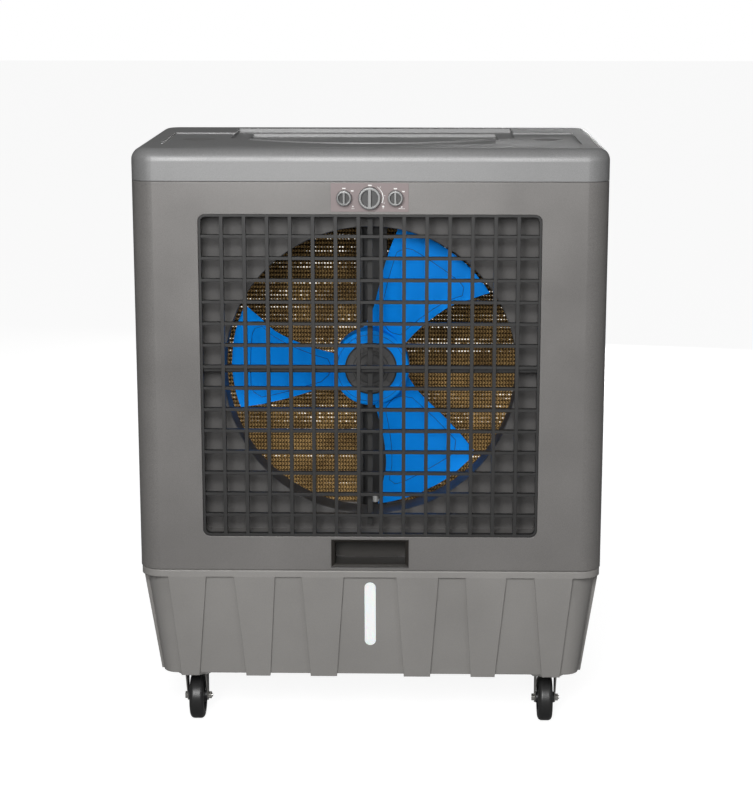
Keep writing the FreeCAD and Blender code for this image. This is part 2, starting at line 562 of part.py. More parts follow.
trough_parts = {}
for title, inset, low in (("trough", 0, "pad_high"), ("channel", 3, "pad_high + 3")):
    high = "pad_high + 26" if inset == 0 else "pad_high + 30"
    trough_parts[title] = join(
        title + "_u",
        block(title + "_west", ("-width / 2 + 18 + %d" % inset, "-width / 2 + 68 - %d" % inset),
              ("side_low + 4 + %d" % inset, "back - 18 - %d" % inset), (low, high)),
        block(title + "_east", ("width / 2 - 68 + %d" % inset, "width / 2 - 18 - %d" % inset),
              ("side_low + 4 + %d" % inset, "back - 18 - %d" % inset), (low, high)),
        block(title + "_rear", ("-width / 2 + 18 + %d" % inset, "width / 2 - 18 - %d" % inset),
              ("back - 68 + %d" % inset, "back - 18 - %d" % inset), (low, high)))
node("water_manifold", cut("trough_shape", trough_parts["trough"], trough_parts["channel"]))

# ---- Pump in the tank, its strainer, impeller and riser hose ----
at = ("pump_east", "pump_north")
floor_in = "tank_floor + 5"
pump = join("pump_solid", rod("pump_body", "z", 38, (floor_in + " + 20", floor_in + " + 46"), at),
            rod("pump_neck", "z", 20, (floor_in + " + 46", floor_in + " + 92"), at),
            block("pump_spout", ("pump_east - 11", "pump_east + 11"), ("pump_north", "hose_north + 11"),
                  (floor_in + " + 24", floor_in + " + 46")),
            rod("pump_barb", "z", 7.5, (floor_in + " + 46", floor_in + " + 80"),
                ("pump_east", "hose_north")))
node("water_pump", cut("pump_shape", pump,
                       rod("pump_chamber", "z", 30, (floor_in + " + 15", floor_in + " + 40"), at),
                       rod("pump_bush", "z", "2.5 + run_gap", (floor_in + " + 30", floor_in + " + 60"), at)))
cage = cut("cage", rod("cage_outer", "z", 40, (floor_in, floor_in + " + 20"), at),
           rod("cage_inner", "z", 36, (floor_in + " + 3", floor_in + " + 21"), at))
slots = []
for number in range(8):
    slot = block("cage_slot_%d" % number, (-4, 4), (-50, 50), (6, 16))
    stand = doc.addObject("Part::Compound", "cage_cut_%d" % number)
    stand.Links = [slot]
    stand.Placement = FreeCAD.Placement(V(0, 0, 0), FreeCAD.Rotation(V(0, 0, 1), 22.5 * number))
    place(stand, "pump_east", "pump_north", floor_in)
    slots.append(stand)
node("pump_strainer", cut("strainer", cage, *slots))
vanes = [rod("impeller_disc", "z", 25, (floor_in + " + 34", floor_in + " + 36"), at),
         rod("impeller_hub", "z", 7, (floor_in + " + 24", floor_in + " + 36"), at),
         rod("impeller_pin", "z", 2.5, (floor_in + " + 36", floor_in + " + 56"), at)]
for number in range(3):
    vane = block("vane_%d" % number, (-24, 24), (-1, 1), (24, 35))
    stand = doc.addObject("Part::Compound", "vane_stand_%d" % number)
    stand.Links = [vane]
    stand.Placement = FreeCAD.Placement(V(0, 0, 0), FreeCAD.Rotation(V(0, 0, 1), 60 * number))
    place(stand, "pump_east", "pump_north", floor_in)
    vanes.append(stand)
node("pump_impeller", join("impeller", *vanes))

x, y = size["pump_east"], size["hose_north"]
start, turn_at = size["tank_floor"] + 62, size["pad_high"] - 18
reach = size["back"] - 68 - y
bend = Part.Arc(V(x, y, turn_at), V(x, y + reach * (1 - cos(pi / 4)), turn_at + reach * sin(pi / 4)),
                V(x, y + reach, turn_at + reach))
route = Part.Wire([Part.LineSegment(V(x, y, start), V(x, y, turn_at)).toShape(), bend.toShape()])
walls = []
for radius in (10.0, 7.5):
    mouth_ring = Part.Wire(Part.makeCircle(radius, V(x, y, start), V(0, 0, 1)))
    walls.append(route.makePipeShell([mouth_ring], True, False))
hose = doc.addObject("Part::Feature", "hose")
hose.Shape = walls[0].cut(walls[1])
hose.Placement = FreeCAD.Placement()
node("riser_hose", hose)

# ---- Float valve, hose inlet and cord gland ----
node("hose_inlet", cut("inlet", join("inlet_solid",
                                     rod("inlet_thread", "y", 13.3, ("back - 10", "back"), (-315, 322)),
                                     rod("inlet_neck", "y", 12.4, ("back - 22.5", "back - 10"), (-315, 322)),
                                     rod("inlet_flange", "y", 19, ("back - 27.5", "back - 22.5"), (-315, 322), 6),
                                     rod("inlet_stub", "y", 10, ("back - 32", "back - 27.5"), (-315, 322))),
                       rod("inlet_bore", "y", 6, ("back - 40", "back + 1"), (-315, 322))))
hinge_y, hinge_z = "back - 64", 312
valve = cut("valve_solid",
            join("valve_lugs", block("valve_body", (-329, -301), ("back - 56", "back - 32"), (304, 338)),
                 block("valve_jaw", (-326, -304), ("back - 68", "back - 55"), (307, 317))),
            block("valve_slot", (-320, -310), ("back - 80", "back - 56"), (300, 325)))
node("float_valve", join("valve", valve, rod("valve_pin", "x", 2, (-325, -305), (hinge_y, hinge_z))))
arm = cut("arm_shape",
          join("arm_solid", rod("arm_eye", "x", 4.5, (-4, 4), (0, 0)),
               rod("arm_rod", "y", 3, (-122, -3), (0, 0))),
          rod("arm_bore", "x", "2 + run_gap", (-8, 8), (0, 0)))
ball = doc.addObject("Part::Sphere", "ball")
bind(ball, Radius="32")
ball_seat = rod("ball_socket", "y", 3, (-140, -60), (0, 0))
place(ball, "0", "-150", "0")
droop = FreeCAD.Rotation(V(1, 0, 0), 30)
float_arm = node("float_arm", arm)
float_ball = node("float_ball", cut("float_bulb", ball, ball_seat))
for piece in (float_arm, float_ball):
    piece.Placement = FreeCAD.Placement(V(0, 0, 0), droop)
    place(piece, "-315", hinge_y, hinge_z)

node("cord_gland", cut("gland", join("gland_solid",
                                     rod("gland_thread", "y", 10, ("back - 12", "back"), (423, 440)),
                                     rod("gland_nut", "y", 14, ("back - 12", "back - 4"), (423, 440), 6)),
                       rod("gland_bore", "y", 4.5, ("back - 20", "back + 1"), (423, 440))))

# ---- Control panel with three rotary switches and their knobs ----
knob_spots = (("left", "-knob_gap", "knob_small", 4.2, 2.1), ("center", "0", "knob_large", 5.2, 3.1),
              ("right", "knob_gap", "knob_small", 4.2, 2.1))
shaft_holes = [rod("panel_bore_" + side, "y", "spindle + run_gap", ("front - 5", "front + 5"),
                   (x, "knob_height")) for side, x, *_ in knob_spots]
node("control_panel", cut("panel", join(
    "panel_solid",
    slab("panel_plate", "XZ", ("-panel_half", "panel_half"), ("panel_low", "panel_high"), 1.5,
         ("front - 1.2", "front")),
    block("panel_back", ("-panel_half + 4.2", "panel_half - 4.2"), ("front", "front + 3"),
          ("panel_low + 3.2", "panel_high - 3.2"))), *shaft_holes))
switches = []
for side, x, radius, brim, grip in knob_spots:
    case = block("switch_" + side, (x + " - 17", x + " + 17"), ("front + 3", "front + 33"),
                 ("knob_height - 17", "knob_height + 17"))
    switches.append(cut("switch_case_" + side, case,
                        rod("switch_bore_" + side, "y", "spindle + run_gap", ("front + 2", "front + 18"),
                            (x, "knob_height"))))
    face = "front - knob_reach"
    dish = cut("dish_" + side,
               rod("dish_round_" + side, "y", "%s - %g" % (radius, brim), (face + " - 1", face + " + 8"),
                   (x, "knob_height")),
               block("grip_" + side, ("%s - %g" % (x, grip), "%s + %g" % (x, grip)), (face + " - 2", face + " + 10"),
                     ("knob_height - 40", "knob_height + 40")))
    head = cut("knob_head_" + side,
               rounded("knob_soft_" + side,
                       rod("knob_round_" + side, "y", radius, (face, "front - 1.2 - gap"), (x, "knob_height")),
                       1.8, lambda edge: edge.Length > 50 and edge.BoundBox.YMax < size["front"] - 10), dish)
    node("knob_" + side, join("knob_turned_" + side, head,
                              rod("knob_spindle_" + side, "y", "spindle", ("front - 5", "front + 16"),
                                  (x, "knob_height"))))
node("control_switches", group("switch_trio", *switches))

# ---- Filling pocket: an open-fronted box that pours into the tank ----
pocket_bevel = doc.addObject("Part::Wedge", "pocket_bevel")
bind(pocket_bevel, Ymin="front - 2.51", Ymax="front + 2.65",
     Xmin="-pocket_half + 1", Xmax="pocket_half - 1", Zmin="pocket_low + 1", Zmax="pocket_high - 1",
     X2min="-pocket_half + 7", X2max="pocket_half - 7", Z2min="pocket_low + 7", Z2max="pocket_high - 7")
node("fill_pocket", cut("pocket", join(
    "pocket_solid",
    block("pocket_flange", ("-pocket_half", "pocket_half"), ("front - 2.5", "front"),
          ("pocket_low", "pocket_high")),
    block("pocket_box", ("-pocket_half + 3.2", "pocket_half - 3.2"), ("front - 1", "front + pocket_deep"),
          ("pocket_low + 3.2", "pocket_high - 3.2"))),
    block("pocket_mouth", ("-pocket_half + 7", "pocket_half - 7"), ("front - 5", "front + pocket_deep - 3"),
          ("pocket_low + 7", "pocket_high - 7")),
    block("pocket_spill", ("-58", "58"), ("front + pocket_deep - 10", "front + pocket_deep - 4"),
          ("pocket_low - 5", "pocket_low + 10")), pocket_bevel))

# ---- Casters: fixed plates, then a fork, axle, wheel and tyre at each corner ----
plates, bolts = [], []
for title, x_sign, y_sign in (("front_left", "-", "-"), ("front_right", "", "-"),
                              ("rear_left", "-", ""), ("rear_right", "", "")):
    x, y = x_sign + "caster_east", "middle + (%scaster_north)" % y_sign
    axle_y = y + " + trail"
    pin_low = "tank_floor - 17.5"
    wells = [rod("plate_well_%s_%d_%d" % (title, i + 30, j + 40), "z", 3.05, ("tank_floor - 4", "tank_floor + 1"),
                 ("%s + %d" % (x, i), "%s + %d" % (y, j))) for i in (-26, 26) for j in (-33, 33)]
    plates.append(cut("plate_holed_" + title, join(
        "plate_" + title,
        slab("plate_pad_" + title, "XY", (x + " - 35", x + " + 35"), (y + " - 42", y + " + 42"), 7,
             ("tank_floor - 3", "tank_floor")),
        rod("raceway_" + title, "z", 21, ("tank_floor - 9", "tank_floor - 3"), (x, y)),
        rod("kingpin_" + title, "z", "kingpin", (pin_low, "tank_floor - 8"), (x, y)),
        rod("rivet_" + title, "z", 10, (pin_low, pin_low + " + 3.6"), (x, y))), *wells))
    for i in (-26, 26):
        for j in (-33, 33):
            bolts.append(join("bolt_%s_%d" % (title, len(bolts)),
                              rod("bolt_head_%d" % len(bolts), "z", 5.5, ("tank_floor - 6.5", "tank_floor - 3"),
                                  ("%s + %d" % (x, i), "%s + %d" % (y, j)), 6),
                              rod("bolt_shank_%d" % len(bolts), "z", 3, ("tank_floor - 4", "tank_floor + 10"),
                                  ("%s + %d" % (x, i), "%s + %d" % (y, j)))))
    crown_low, crown_high = "tank_floor - 13.3", "tank_floor - 9.3"
    legs = []
    for hand, low, high in (("in", "-fork_half - fork_thick", "-fork_half"),
                            ("out", "fork_half", "fork_half + fork_thick")):
        low, high = x + " + (%s)" % low, x + " + (%s)" % high
        leg = doc.addObject("Part::Wedge", "leg_%s_%s" % (title, hand))
        bind(leg, Xmin="(-11)", Xmax="11", X2min="-trail - 19", X2max="14", Ymin="wheel_radius",
             Ymax=crown_high, Zmin="0", Zmax="fork_thick", Z2min="0", Z2max="fork_thick")
        leg.Placement = FreeCAD.Placement(V(0, 0, 0), FreeCAD.Rotation(V(0, 0, 1), 90).multiply(
            FreeCAD.Rotation(V(1, 0, 0), 90)))
        place(leg, low, axle_y)
        legs.append(join("leg_%s_%s_round" % (title, hand), leg,
                         rod("leg_end_%s_%s" % (title, hand), "x", 11, (low, high), (axle_y, "wheel_radius"))))
    crown = join("crown_" + title,
                 rod("crown_disc_" + title, "z", 26, (crown_low, crown_high), (x, y)),
                 block("crown_bar_" + title, (x + " - fork_half - fork_thick", x + " + fork_half + fork_thick"),
                       (y + " - 19", y + " + trail + 14"), (crown_low, crown_high)))
    node("caster_%s_fork" % title,
         cut("fork_" + title, join("fork_solid_" + title, crown, *legs),
             rod("fork_eye_" + title, "z", "kingpin + run_gap", (crown_low + " - 5", crown_high + " + 5"), (x, y)),
             rod("fork_axle_hole_" + title, "x", "axle", (x + " - 40", x + " + 40"), (axle_y, "wheel_radius"))))
    hub_at = (axle_y, "wheel_radius")
    outer = "fork_half + fork_thick"
    node("caster_%s_axle" % title, join(
        "axle_" + title,
        rod("axle_rod_" + title, "x", "axle", (x + " - (%s) - 1" % outer, x + " + %s + 9" % outer), hub_at),
        rod("axle_head_" + title, "x", 8, (x + " - (%s) - 5.5" % outer, x + " - (%s)" % outer), hub_at, 6),
        rod("axle_nut_" + title, "x", 8, (x + " + %s" % outer, x + " + %s + 6.5" % outer), hub_at, 6)))
    rims = [cut("dishing_%s_%s" % (title, hand),
                rod("dishing_out_%s_%s" % (title, hand), "x", 32, (low, high), hub_at),
                rod("dishing_in_%s_%s" % (title, hand), "x", 16, (low, high), hub_at))
            for hand, low, high in (("in", x + " - 30", x + " - 7"), ("out", x + " + 7", x + " + 30"))]
    node("caster_%s_wheel" % title, cut(
        "wheel_" + title,
        join("wheel_solid_" + title, rod("wheel_disc_" + title, "x", 38, (x + " - 15", x + " + 15"), hub_at),
             rod("wheel_hub_" + title, "x", 12, (x + " - fork_half + 0.5", x + " + fork_half - 0.5"), hub_at)),
        rod("wheel_bore_" + title, "x", "axle + run_gap", (x + " - 30", x + " + 30"), hub_at), *rims))
    tread = rounded("tread_" + title,
                    rod("tread_blank_" + title, "x", "wheel_radius",
                        (x + " - tyre_wide / 2", x + " + tyre_wide / 2"), hub_at), 9,
                    lambda edge: edge.Length > 300)
    node("caster_%s_tyre" % title, cut("tyre_" + title, tread,
                                       rod("tyre_bore_" + title, "x", 38, (x + " - 40", x + " + 40"), hub_at)))
node("caster_plates", group("plate_set", *plates))
node("caster_bolts", group("bolt_set", *bolts))

# ---- Check every object, then write one file for each node ----
doc.recompute()
for thing in doc.Objects:
    if "Invalid" in thing.State or "Error" in thing.State:
        raise RuntimeError("failed object: %s (%s)" % (thing.Name, thing.Label))
assert len(nodes) == len({piece.Label for piece in nodes})
for piece in nodes:
    if piece.Shape.isNull() or not piece.Shape.isValid() or piece.Shape.Volume < 1:
        raise RuntimeError("bad shape: " + piece.Label)
os.makedirs("parts", exist_ok=True)
for piece in nodes:
    piece.Shape.exportStep("parts/%s.step" % piece.Label)
    print("%-26s %3d solids %10.1f cm3" % (piece.Label, len(piece.Shape.Solids), piece.Shape.Volume / 1000))
print(len(nodes), "nodes")
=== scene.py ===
import math

import bpy
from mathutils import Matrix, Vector


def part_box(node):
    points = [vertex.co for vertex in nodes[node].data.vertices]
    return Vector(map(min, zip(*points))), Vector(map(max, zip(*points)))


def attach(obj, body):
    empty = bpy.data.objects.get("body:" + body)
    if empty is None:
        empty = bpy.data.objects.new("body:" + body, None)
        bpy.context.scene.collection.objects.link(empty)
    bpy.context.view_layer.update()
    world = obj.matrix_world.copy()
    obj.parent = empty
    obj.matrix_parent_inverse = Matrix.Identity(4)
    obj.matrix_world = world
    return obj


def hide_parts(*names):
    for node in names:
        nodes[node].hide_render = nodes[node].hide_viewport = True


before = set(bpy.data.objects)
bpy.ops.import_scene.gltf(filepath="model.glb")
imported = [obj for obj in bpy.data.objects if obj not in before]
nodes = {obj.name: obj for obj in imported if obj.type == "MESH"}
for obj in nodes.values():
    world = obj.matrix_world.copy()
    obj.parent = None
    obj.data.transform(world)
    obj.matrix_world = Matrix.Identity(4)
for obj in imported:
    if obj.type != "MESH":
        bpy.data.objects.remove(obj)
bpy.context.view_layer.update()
scene = bpy.context.scene
scene.view_settings.view_transform = "Standard"
scene.render.film_transparent = False

# ---------------------------------------------------------------------------
# Studio. The cooler stands on a plain pale floor in white air, under soft
# lamps in front and above, seen from a standing eye height.
# ---------------------------------------------------------------------------
FRONT, AXIS_UP = -0.271, 0.777
AIR_LOW, AIR_HIGH, FLOOR_SHADE, FLOOR_GLOW = 0.13, 0.24, 0.3, 0.88


def deselect():
    """Nothing stays selected, so an operator acts only on what comes next."""
    for thing in bpy.context.selected_objects:
        thing.select_set(False)


def shader(name):
    """A new material and its principled shader."""
    material = bpy.data.materials.new(name)
    material.use_nodes = True
    return material, material.node_tree.nodes["Principled BSDF"]


def grey(level):
    """An opaque neutral colour."""
    return (level, level, level, 1)


def sums(tree):
    """For one node tree, a function that adds a maths node and gives back its result."""
    def sum_up(kind, *terms):
        part = tree.nodes.new("ShaderNodeMath")
        part.operation = kind
        for socket, term in zip(part.inputs, terms):
            if isinstance(term, float):
                socket.default_value = term
            else:
                tree.links.new(term, socket)
        return part.outputs["Value"]
    return sum_up


deselect()
bpy.ops.mesh.primitive_plane_add(size=60, location=(0, 0, 0))
floor = bpy.context.object
floor.name = "studio_floor"
floor_material, floor_shader = shader("studio_floor_paint")
floor_shader.inputs["Base Color"].default_value = grey(FLOOR_SHADE)
floor_shader.inputs["Roughness"].default_value = 1.0
floor_shader.inputs["Specular IOR Level"].default_value = 0.0
floor_shader.inputs["Emission Color"].default_value = grey(1)
floor_tree = floor_material.node_tree
floor_ray = floor_tree.nodes.new("ShaderNodeLightPath")
floor_tree.links.new(sums(floor_tree)("MULTIPLY", floor_ray.outputs["Is Camera Ray"], FLOOR_GLOW),
                     floor_shader.inputs["Emission Strength"])
floor.data.materials.append(floor_material)

world = bpy.data.worlds.new("studio_air")
world.use_nodes = True
air = world.node_tree
seen = air.nodes["Background"]
seen.inputs["Color"].default_value = grey(1)
seen.inputs["Strength"].default_value = 1.0
glow = air.nodes.new("ShaderNodeBackground")
heading = air.nodes.new("ShaderNodeTexCoord")
height = air.nodes.new("ShaderNodeSeparateXYZ")
air.links.new(heading.outputs["Generated"], height.inputs["Vector"])
sky = air.nodes.new("ShaderNodeValToRGB")
sky.color_ramp.elements[0].position = 0.0
sky.color_ramp.elements[0].color = grey(AIR_LOW)
sky.color_ramp.elements[1].position = 0.9
sky.color_ramp.elements[1].color = grey(AIR_HIGH)
air.links.new(height.outputs["Z"], sky.inputs["Fac"])
air.links.new(sky.outputs["Color"], glow.inputs["Color"])
ray = air.nodes.new("ShaderNodeLightPath")
blend_air = air.nodes.new("ShaderNodeMixShader")
air.links.new(ray.outputs["Is Camera Ray"], blend_air.inputs["Fac"])
air.links.new(glow.outputs["Background"], blend_air.inputs[1])
air.links.new(seen.outputs["Background"], blend_air.inputs[2])
air.links.new(blend_air.outputs["Shader"], air.nodes["World Output"].inputs["Surface"])
scene.world = world

for name, place, aim, size, power in (
        ("key_softbox", (-0.35, -3.9, 2.2), (0, 0, 1.0), 1.5, 136),
        ("overhead_softbox", (0.1, -0.9, 3.0), (0, -0.1, 1.1), 0.9, 1.5),
        ("right_strip", (2.4, -2.6, 2.0), (0.4, -0.2, 0.8), 0.5, 8),
        ("back_softbox", (0.7, 4.2, 0.9), (0, 0, 0.6), 1.1, 75),
        ("plenum_lamp_west", (-0.34, -0.13, 0.47), (-0.05, 0.22, 0.66), 0.12, 0.55),
        ("plenum_lamp_east", (0.34, -0.13, 0.47), (0.05, 0.22, 0.66), 0.12, 0.45)):
    lamp = bpy.data.lights.new(name, "AREA")
    lamp.size = size
    lamp.energy = power
    lamp_object = bpy.data.objects.new(name, lamp)
    scene.collection.objects.link(lamp_object)
    lamp_object.location = place
    lamp_object.rotation_euler = (Vector(aim) - Vector(place)).to_track_quat("-Z", "Y").to_euler()
    lamp_object.visible_camera = False

EYE_EAST, EYE_BACK, EYE_UP = 0.0877, 3.977, 1.6034
LOOK_DOWN, LOOK_WEST, FOCAL_LENGTH = 12.353, 1.067, 89.55
lens = bpy.data.cameras.new("standing_view")
lens.lens = FOCAL_LENGTH
lens.clip_end = 90
camera = bpy.data.objects.new("standing_view", lens)
scene.collection.objects.link(camera)
camera.location = (EYE_EAST, FRONT - EYE_BACK, EYE_UP)
camera.rotation_euler = (math.radians(90 - LOOK_DOWN), 0, math.radians(LOOK_WEST))
scene.camera = camera

# ---------------------------------------------------------------------------
# Casing. Two big mouldings in grey polypropylene with a fine metallic fleck
# and a faint moulding grain, joined by a seam down each side.
# ---------------------------------------------------------------------------
CASING_GREY = (0.205, 0.197, 0.19)


def noise(tree, spot, scale, detail=2):
    """A noise texture at one scale, laid over the piece's own coordinates."""
    texture = tree.nodes.new("ShaderNodeTexNoise")
    texture.inputs["Scale"].default_value = scale
    texture.inputs["Detail"].default_value = detail
    tree.links.new(spot.outputs["Object"], texture.inputs["Vector"])
    return texture.outputs["Fac"]


def moulded(name, colour, rough, fleck=0.12, fleck_scale=900, grain=0.08, grain_scale=1400,
            metal=0.0, coat=0.0, cloud=0.05, edge=0.0, specular=0.5):
    """Moulded plastic or paint: flecks of lighter and darker colour, slow clouds of tone,
    an uneven gloss and a fine grain, with softened edges where edge is given in metres."""
    material, surface = shader(name)
    tree = material.node_tree
    add, link = tree.nodes.new, tree.links.new
    spot = add("ShaderNodeTexCoord")
    clouds = noise(tree, spot, 6, 4)
    tones = add("ShaderNodeValToRGB")
    tones.color_ramp.elements[0].position = 0.3
    tones.color_ramp.elements[1].position = 0.7
    tones.color_ramp.elements[0].color = tuple(c * (1 - fleck) for c in colour) + (1,)
    tones.color_ramp.elements[1].color = tuple(min(1, c * (1 + fleck)) for c in colour) + (1,)
    link(noise(tree, spot, fleck_scale), tones.inputs["Fac"])
    shade = add("ShaderNodeMapRange")
    shade.inputs["From Min"].default_value = 0.3
    shade.inputs["From Max"].default_value = 0.7
    shade.inputs["To Min"].default_value = 1 - cloud
    shade.inputs["To Max"].default_value = 1 + cloud
    link(clouds, shade.inputs["Value"])
    tint = add("ShaderNodeVectorMath")
    tint.operation = "SCALE"
    link(tones.outputs["Color"], tint.inputs[0])
    link(shade.outputs["Result"], tint.inputs["Scale"])
    link(tint.outputs["Vector"], surface.inputs["Base Color"])
    gloss = add("ShaderNodeMapRange")
    gloss.inputs["From Min"].default_value = 0.3
    gloss.inputs["From Max"].default_value = 0.7
    gloss.inputs["To Min"].default_value = max(0.02, rough - 0.05)
    gloss.inputs["To Max"].default_value = rough + 0.05
    link(clouds, gloss.inputs["Value"])
    link(gloss.outputs["Result"], surface.inputs["Roughness"])
    bump = add("ShaderNodeBump")
    bump.inputs["Strength"].default_value = grain
    bump.inputs["Distance"].default_value = 0.0004
    link(noise(tree, spot, grain_scale, 3), bump.inputs["Height"])
    if edge:
        soft = add("ShaderNodeBevel")
        soft.samples = 4
        soft.inputs["Radius"].default_value = edge
        link(soft.outputs["Normal"], bump.inputs["Normal"])
    link(bump.outputs["Normal"], surface.inputs["Normal"])
    surface.inputs["Metallic"].default_value = metal
    surface.inputs["Specular IOR Level"].default_value = specular
    surface.inputs["Coat Weight"].default_value = coat
    surface.inputs["Coat Roughness"].default_value = 0.25
    return material


def wear_finish(material, *names):
    """Give carried-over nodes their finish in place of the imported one."""
    for name in names:
        for slot in nodes[name].material_slots:
            slot.material = material


casing = moulded("casing_fleck_grey", CASING_GREY, 0.36, fleck=0.22, metal=0.25, edge=0.0022)
wear_finish(casing, "front_housing", "rear_housing")

# ---------------------------------------------------------------------------
# Top cover. A lid in the same flecked plastic, its grey a little lighter as
# painted light from above, with a tray, a D-shaped dish and a plug in each screw well.
# ---------------------------------------------------------------------------
# The lid's lighter grey is painted light, not a different plastic.
lid = moulded("lid_fleck_grey", (0.25, 0.25, 0.25), 0.46, fleck=0.22, metal=0.3, edge=0.0022)
wear_finish(lid, "top_cover")
plug_grey = moulded("plug_grey", (0.16, 0.158, 0.155), 0.4, fleck=0.15)
wear_finish(plug_grey, "cover_plugs")

# ---------------------------------------------------------------------------
# Water tank. Drafted tub in plainer satin polypropylene, its grey paler as
# painted light from the floor's bounce, with a milky strip for reading the level
# that has a faint painted glow, and a moulded drain plug behind.
# ---------------------------------------------------------------------------
# Paler than the casing's grey: painted light for the floor's bounce onto the tank's downward-leaning
# sides.
tank_grey = moulded("tank_satin_grey", (0.29, 0.28, 0.268), 0.42, fleck=0.06, metal=0.1,
                    edge=0.0018)
wear_finish(tank_grey, "water_tank")
strip_white = moulded("level_strip_white", (0.93, 0.94, 0.93), 0.3, fleck=0.01, cloud=0.01,
                      grain=0.02)
strip_shader = strip_white.node_tree.nodes["Principled BSDF"]
strip_shader.inputs["Subsurface Weight"].default_value = 0.3
strip_shader.inputs["Subsurface Scale"].default_value = 0.01
# A faint painted glow keeps the strip white: it shines by itself, though it is no lamp.
strip_shader.inputs["Emission Color"].default_value = (1, 1, 1, 1)
strip_shader.inputs["Emission Strength"].default_value = 0.15
wear_finish(strip_white, "level_window")
dark_grey = moulded("dark_moulding", (0.055, 0.054, 0.052), 0.4, fleck=0.1, edge=0.0012)
wear_finish(dark_grey, "drain_plug", "cord_gland")

# ---------------------------------------------------------------------------
# Discharge grille. One flat moulding of crossing bars in charcoal plastic,
# stiffened by a level and an upright brace behind it.
# ---------------------------------------------------------------------------
grille_grey = moulded("grille_charcoal", (0.021, 0.0205, 0.020), 0.5, fleck=0.1, edge=0.001)
wear_finish(grille_grey, "front_grille", "grille_brace_horizontal")
brace_black = moulded("brace_black", (0.015, 0.0145, 0.014), 0.55, fleck=0.1, edge=0.001)
wear_finish(brace_black, "grille_brace_vertical")

# ---------------------------------------------------------------------------
# Fan shroud. Bulkhead and venturi ring in mid-grey plastic, the wall that the
# fan turns in; its surface is duller than the casing's.
# ---------------------------------------------------------------------------
shroud_grey = moulded("shroud_mid_grey", (0.078, 0.075, 0.073), 0.6, fleck=0.15, edge=0.0015)
wear_finish(shroud_grey, "fan_shroud")

# ---------------------------------------------------------------------------
# Fan. Three wide blades and a cupped hub in one blue moulding, closed by a
# dark ribbed cap over the nut that holds it on the motor shaft.
# ---------------------------------------------------------------------------
fan_blue = moulded("fan_blue", (0.0, 0.29, 1.0), 0.65, fleck=0.03, cloud=0.03, grain=0.03,
                   specular=0.12, edge=0.0015)
wear_finish(fan_blue, "fan_rotor")
cap_grey = moulded("hub_cap_grey", (0.075, 0.0735, 0.0725), 0.42, fleck=0.1, edge=0.001)
wear_finish(cap_grey, "fan_hub_plate")
# Rings of painted shade and painted highlight on the cap, over its grooves, boss and rim:
# share of its radius, and what its colour is multiplied by there.
CAP_RADIUS = 0.0545
CAP_RING_SHADE = ((0.30, 0.55), (0.36, 1.0), (0.50, 0.9), (0.55, 0.3), (0.60, 0.9), (0.655, 1.1),
             (0.68, 0.35), (0.72, 1.0), (0.93, 1.1), (0.955, 0.12))


def tinted(material, factor):
    """Multiply a finish's colour by the result of another node."""
    tree = material.node_tree
    colour = tree.nodes["Principled BSDF"].inputs["Base Color"]
    product = tree.nodes.new("ShaderNodeVectorMath")
    product.operation = "MULTIPLY"
    tree.links.new(colour.links[0].from_socket, product.inputs[0])
    tree.links.new(factor, product.inputs[1])
    tree.links.new(product.outputs["Vector"], colour)


cap_tree = cap_grey.node_tree
cap_spot = cap_tree.nodes.new("ShaderNodeTexCoord")
cap_axes = cap_tree.nodes.new("ShaderNodeSeparateXYZ")
cap_tree.links.new(cap_spot.outputs["Object"], cap_axes.inputs["Vector"])
cap_sum = sums(cap_tree)
cap_rise = cap_sum("SUBTRACT", cap_axes.outputs["Z"], AXIS_UP)
cap_squares = [cap_sum("MULTIPLY", off, off) for off in (cap_axes.outputs["X"], cap_rise)]
cap_reach = cap_sum("SQRT", cap_sum("ADD", *cap_squares))
# Painted shade and highlight in rings, by distance from the motor's axis.
ring_shade = cap_tree.nodes.new("ShaderNodeValToRGB")
for share, tone in CAP_RING_SHADE:
    ring_shade.color_ramp.elements.new(share).color = grey(tone)
ring_shade.color_ramp.elements.remove(ring_shade.color_ramp.elements[0])
ring_shade.color_ramp.elements.remove(ring_shade.color_ramp.elements[-1])
cap_tree.links.new(cap_sum("DIVIDE", cap_reach, CAP_RADIUS), ring_shade.inputs["Fac"])
tinted(cap_grey, ring_shade.outputs["Color"])
# Raised beads for the moulded ridges on the blades and round the hub; their dark blue is painted
# shade, as the fan is one blue moulding.
line_shade_blue = moulded("fan_line_shade_blue", (0.0, 0.05, 0.22), 0.5, fleck=0.03, cloud=0.03, grain=0.03)
CONCAVE_EDGE = ((76, -19.5), (100, -17.6), (125, -16), (150, -15.8), (186, -16.4), (222, -18),
                (250, -20.4), (288, -22.7))
STRAIGHT_EDGE = ((76, 49), (95, 38), (120, 32), (150, 29.3), (186, 27.6), (222, 26), (250, 24.9),
                 (288, 23.2))


def blade_spot(radius, share):
    """A point on a blade's front skin, in millimetres from the hub's centre: share runs from
    the concave edge at 0 to the straight edge at 1."""
    ends = []
    for table, lean in ((CONCAVE_EDGE, -1), (STRAIGHT_EDGE, 1)):
        for (r0, a0), (r1, a1) in zip(table, table[1:]):
            if r0 <= radius <= r1:
                angle = math.radians(a0 + (a1 - a0) * (radius - r0) / (r1 - r0))
        ends.append(Vector((radius * math.cos(angle), lean * (36 - radius / 24),
                            radius * math.sin(angle))))
    return ends[0].lerp(ends[1], share)


def drawn_line(name, points, thick):
    """A raised bead along a closed line, in the dark blue of painted shade: a ring of edges turned to
    a curve, then to a mesh.
    """
    deselect()
    bpy.ops.mesh.primitive_circle_add(vertices=len(points), radius=0.1)
    bead = bpy.context.object
    for vertex, point in zip(bead.data.vertices, points):
        vertex.co = point
    bpy.ops.object.convert(target="CURVE")
    bead = bpy.context.object
    bead.data.bevel_depth = thick
    bead.data.bevel_resolution = 1
    bpy.ops.object.convert(target="MESH")
    bead = bpy.context.object
    bead.name = bead.data.name = name
    bpy.ops.object.shade_smooth()
    bead.data.materials.append(line_shade_blue)
    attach(bead, "fan")


